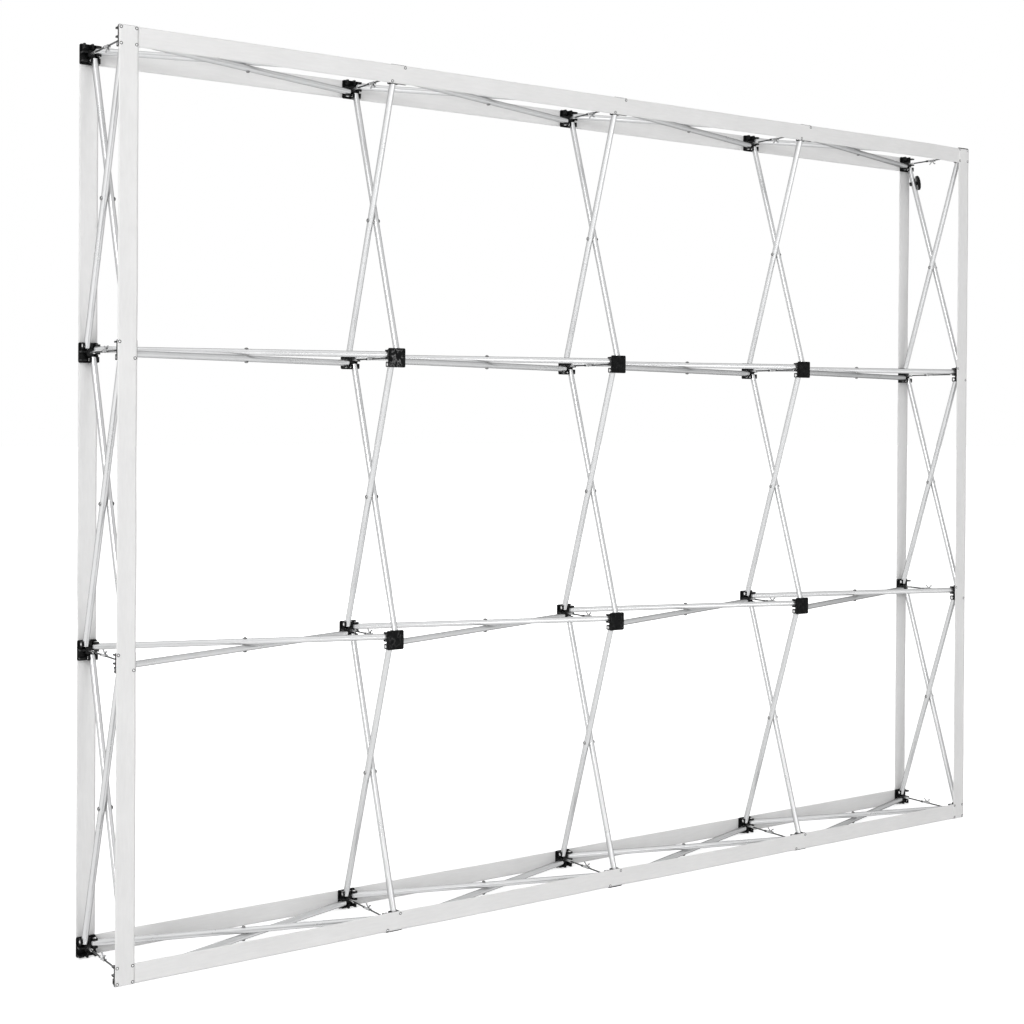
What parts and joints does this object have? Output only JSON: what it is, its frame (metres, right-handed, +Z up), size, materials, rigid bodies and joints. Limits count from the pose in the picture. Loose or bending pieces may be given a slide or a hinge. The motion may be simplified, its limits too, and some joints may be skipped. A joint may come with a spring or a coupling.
{
  "type": "banner wall frame",
  "caption": "Straight folding lattice frame with hubs, crossed tubes, lock links and hook-and-loop bands round both faces for a fabric banner.",
  "frame": {"origin": "on the floor, midway between the outer columns and midway between the two faces", "axes": "+X along the wall to the viewer's right, +Y from the front face to the rear face, +Z up"},
  "size_m": [2.9906, 0.264, 2.246],
  "materials": {
    "hub_plastic": "moulded black nylon, fine matt grain",
    "tube_aluminium": "satin drawn tube",
    "plug_plastic": "light grey moulding",
    "pin_steel": "bright rivet heads",
    "washer_plastic": "thin natural nylon",
    "band_fabric": "white loop tape with woven edges",
    "patch_fabric": "black hook tape",
    "rod_steel": "drawn wire rod",
    "ferrule_metal": "bright turned sleeve",
    "hook_steel": "pressed sheet steel",
    "knob_plastic": "black moulded knob",
    "screw_steel": "plated screw"
  },
  "bodies": {
    "frame": {"front_outer_hubs": "hub_plastic", "front_inner_hubs": "hub_plastic", "rear_outer_hubs": "hub_plastic", "rear_inner_hubs": "hub_plastic", "row_tubes_0": "tube_aluminium", "row_tubes_1": "tube_aluminium", "row_tubes_2": "tube_aluminium", "row_tubes_3": "tube_aluminium", "column_tubes_0": "tube_aluminium", "column_tubes_1": "tube_aluminium", "column_tubes_2": "tube_aluminium", "column_tubes_3": "tube_aluminium", "column_tubes_4": "tube_aluminium", "row_tube_plugs": "plug_plastic", "column_tube_plugs": "plug_plastic", "front_pivot_pins": "pin_steel", "rear_pivot_pins": "pin_steel", "row_cross_rivets": "pin_steel", "column_cross_rivets": "pin_steel", "front_band_rivets": "pin_steel", "rear_band_rivets": "pin_steel", "latch_pins": "pin_steel", "cross_washers": "washer_plastic", "front_top_band": "band_fabric", "front_bottom_band": "band_fabric", "front_left_band": "band_fabric", "front_right_band": "band_fabric", "rear_top_band": "band_fabric", "rear_bottom_band": "band_fabric", "rear_left_band": "band_fabric", "rear_right_band": "band_fabric", "front_hook_patches": "patch_fabric", "rear_lock_rods": "rod_steel", "front_lock_rods": "rod_steel", "rear_ferrules": "ferrule_metal", "front_ferrules": "ferrule_metal", "knob_nut": "knob_plastic"},
    "latch_c0_r0": {"latch_hook_c0_r0": "hook_steel"},
    "latch_c1_r0": {"latch_hook_c1_r0": "hook_steel"},
    "latch_c2_r0": {"latch_hook_c2_r0": "hook_steel"},
    "latch_c3_r0": {"latch_hook_c3_r0": "hook_steel"},
    "latch_c4_r0": {"latch_hook_c4_r0": "hook_steel"},
    "latch_c0_r1": {"latch_hook_c0_r1": "hook_steel"},
    "latch_c1_r1": {"latch_hook_c1_r1": "hook_steel"},
    "latch_c2_r1": {"latch_hook_c2_r1": "hook_steel"},
    "latch_c3_r1": {"latch_hook_c3_r1": "hook_steel"},
    "latch_c4_r1": {"latch_hook_c4_r1": "hook_steel"},
    "latch_c0_r2": {"latch_hook_c0_r2": "hook_steel"},
    "latch_c1_r2": {"latch_hook_c1_r2": "hook_steel"},
    "latch_c2_r2": {"latch_hook_c2_r2": "hook_steel"},
    "latch_c3_r2": {"latch_hook_c3_r2": "hook_steel"},
    "latch_c4_r2": {"latch_hook_c4_r2": "hook_steel"},
    "latch_c0_r3": {"latch_hook_c0_r3": "hook_steel"},
    "latch_c1_r3": {"latch_hook_c1_r3": "hook_steel"},
    "latch_c2_r3": {"latch_hook_c2_r3": "hook_steel"},
    "latch_c3_r3": {"latch_hook_c3_r3": "hook_steel"},
    "latch_c4_r3": {"latch_hook_c4_r3": "hook_steel"},
    "knob": {"hand_knob": "knob_plastic", "knob_screw": "screw_steel"}
  },
  "joints": [
    {"name": "latch_c0_r0_lift", "type": "hinge", "parent": "frame", "child": "latch_c0_r0", "pos_m": [-1.464, 0.017, 0.025], "axis": [-1, 0, 0], "range_deg": [0, 20], "stiffness_Nm_per_rad": 0.01, "springref_deg": -14.32},
    {"name": "latch_c1_r0_lift", "type": "hinge", "parent": "frame", "child": "latch_c1_r0", "pos_m": [-0.732, 0.017, 0.025], "axis": [-1, 0, 0], "range_deg": [0, 20], "stiffness_Nm_per_rad": 0.01, "springref_deg": -14.32},
    {"name": "latch_c2_r0_lift", "type": "hinge", "parent": "frame", "child": "latch_c2_r0", "pos_m": [0, 0.017, 0.025], "axis": [-1, 0, 0], "range_deg": [0, 20], "stiffness_Nm_per_rad": 0.01, "springref_deg": -14.32},
    {"name": "latch_c3_r0_lift", "type": "hinge", "parent": "frame", "child": "latch_c3_r0", "pos_m": [0.732, 0.017, 0.025], "axis": [-1, 0, 0], "range_deg": [0, 20], "stiffness_Nm_per_rad": 0.01, "springref_deg": -14.32},
    {"name": "latch_c4_r0_lift", "type": "hinge", "parent": "frame", "child": "latch_c4_r0", "pos_m": [1.464, 0.017, 0.025], "axis": [-1, 0, 0], "range_deg": [0, 20], "stiffness_Nm_per_rad": 0.01, "springref_deg": -14.32},
    {"name": "latch_c0_r1_lift", "type": "hinge", "parent": "frame", "child": "latch_c0_r1", "pos_m": [-1.464, 0.017, 0.757], "axis": [-1, 0, 0], "range_deg": [0, 20], "stiffness_Nm_per_rad": 0.01, "springref_deg": -14.32},
    {"name": "latch_c1_r1_lift", "type": "hinge", "parent": "frame", "child": "latch_c1_r1", "pos_m": [-0.732, 0.017, 0.757], "axis": [-1, 0, 0], "range_deg": [0, 20], "stiffness_Nm_per_rad": 0.01, "springref_deg": -14.32},
    {"name": "latch_c2_r1_lift", "type": "hinge", "parent": "frame", "child": "latch_c2_r1", "pos_m": [0, 0.017, 0.757], "axis": [-1, 0, 0], "range_deg": [0, 20], "stiffness_Nm_per_rad": 0.01, "springref_deg": -14.32},
    {"name": "latch_c3_r1_lift", "type": "hinge", "parent": "frame", "child": "latch_c3_r1", "pos_m": [0.732, 0.017, 0.757], "axis": [-1, 0, 0], "range_deg": [0, 20], "stiffness_Nm_per_rad": 0.01, "springref_deg": -14.32},
    {"name": "latch_c4_r1_lift", "type": "hinge", "parent": "frame", "child": "latch_c4_r1", "pos_m": [1.464, 0.017, 0.757], "axis": [-1, 0, 0], "range_deg": [0, 20], "stiffness_Nm_per_rad": 0.01, "springref_deg": -14.32},
    {"name": "latch_c0_r2_lift", "type": "hinge", "parent": "frame", "child": "latch_c0_r2", "pos_m": [-1.464, 0.017, 1.489], "axis": [-1, 0, 0], "range_deg": [0, 20], "stiffness_Nm_per_rad": 0.01, "springref_deg": -14.32},
    {"name": "latch_c1_r2_lift", "type": "hinge", "parent": "frame", "child": "latch_c1_r2", "pos_m": [-0.732, 0.017, 1.489], "axis": [-1, 0, 0], "range_deg": [0, 20], "stiffness_Nm_per_rad": 0.01, "springref_deg": -14.32},
    {"name": "latch_c2_r2_lift", "type": "hinge", "parent": "frame", "child": "latch_c2_r2", "pos_m": [0, 0.017, 1.489], "axis": [-1, 0, 0], "range_deg": [0, 20], "stiffness_Nm_per_rad": 0.01, "springref_deg": -14.32},
    {"name": "latch_c3_r2_lift", "type": "hinge", "parent": "frame", "child": "latch_c3_r2", "pos_m": [0.732, 0.017, 1.489], "axis": [-1, 0, 0], "range_deg": [0, 20], "stiffness_Nm_per_rad": 0.01, "springref_deg": -14.32},
    {"name": "latch_c4_r2_lift", "type": "hinge", "parent": "frame", "child": "latch_c4_r2", "pos_m": [1.464, 0.017, 1.489], "axis": [-1, 0, 0], "range_deg": [0, 20], "stiffness_Nm_per_rad": 0.01, "springref_deg": -14.32},
    {"name": "latch_c0_r3_lift", "type": "hinge", "parent": "frame", "child": "latch_c0_r3", "pos_m": [-1.464, 0.017, 2.221], "axis": [1, 0, 0], "range_deg": [0, 20], "stiffness_Nm_per_rad": 0.01, "springref_deg": -14.32},
    {"name": "latch_c1_r3_lift", "type": "hinge", "parent": "frame", "child": "latch_c1_r3", "pos_m": [-0.732, 0.017, 2.221], "axis": [1, 0, 0], "range_deg": [0, 20], "stiffness_Nm_per_rad": 0.01, "springref_deg": -14.32},
    {"name": "latch_c2_r3_lift", "type": "hinge", "parent": "frame", "child": "latch_c2_r3", "pos_m": [0, 0.017, 2.221], "axis": [1, 0, 0], "range_deg": [0, 20], "stiffness_Nm_per_rad": 0.01, "springref_deg": -14.32},
    {"name": "latch_c3_r3_lift", "type": "hinge", "parent": "frame", "child": "latch_c3_r3", "pos_m": [0.732, 0.017, 2.221], "axis": [1, 0, 0], "range_deg": [0, 20], "stiffness_Nm_per_rad": 0.01, "springref_deg": -14.32},
    {"name": "latch_c4_r3_lift", "type": "hinge", "parent": "frame", "child": "latch_c4_r3", "pos_m": [1.464, 0.017, 2.221], "axis": [1, 0, 0], "range_deg": [0, 20], "stiffness_Nm_per_rad": 0.01, "springref_deg": -14.32},
    {"name": "knob_turn", "type": "hinge", "parent": "frame", "child": "knob", "pos_m": [1.4723, 0.0955, 2.15258], "axis": [0.809, -0.5597, 0.1796], "continuous": true}
  ]
}
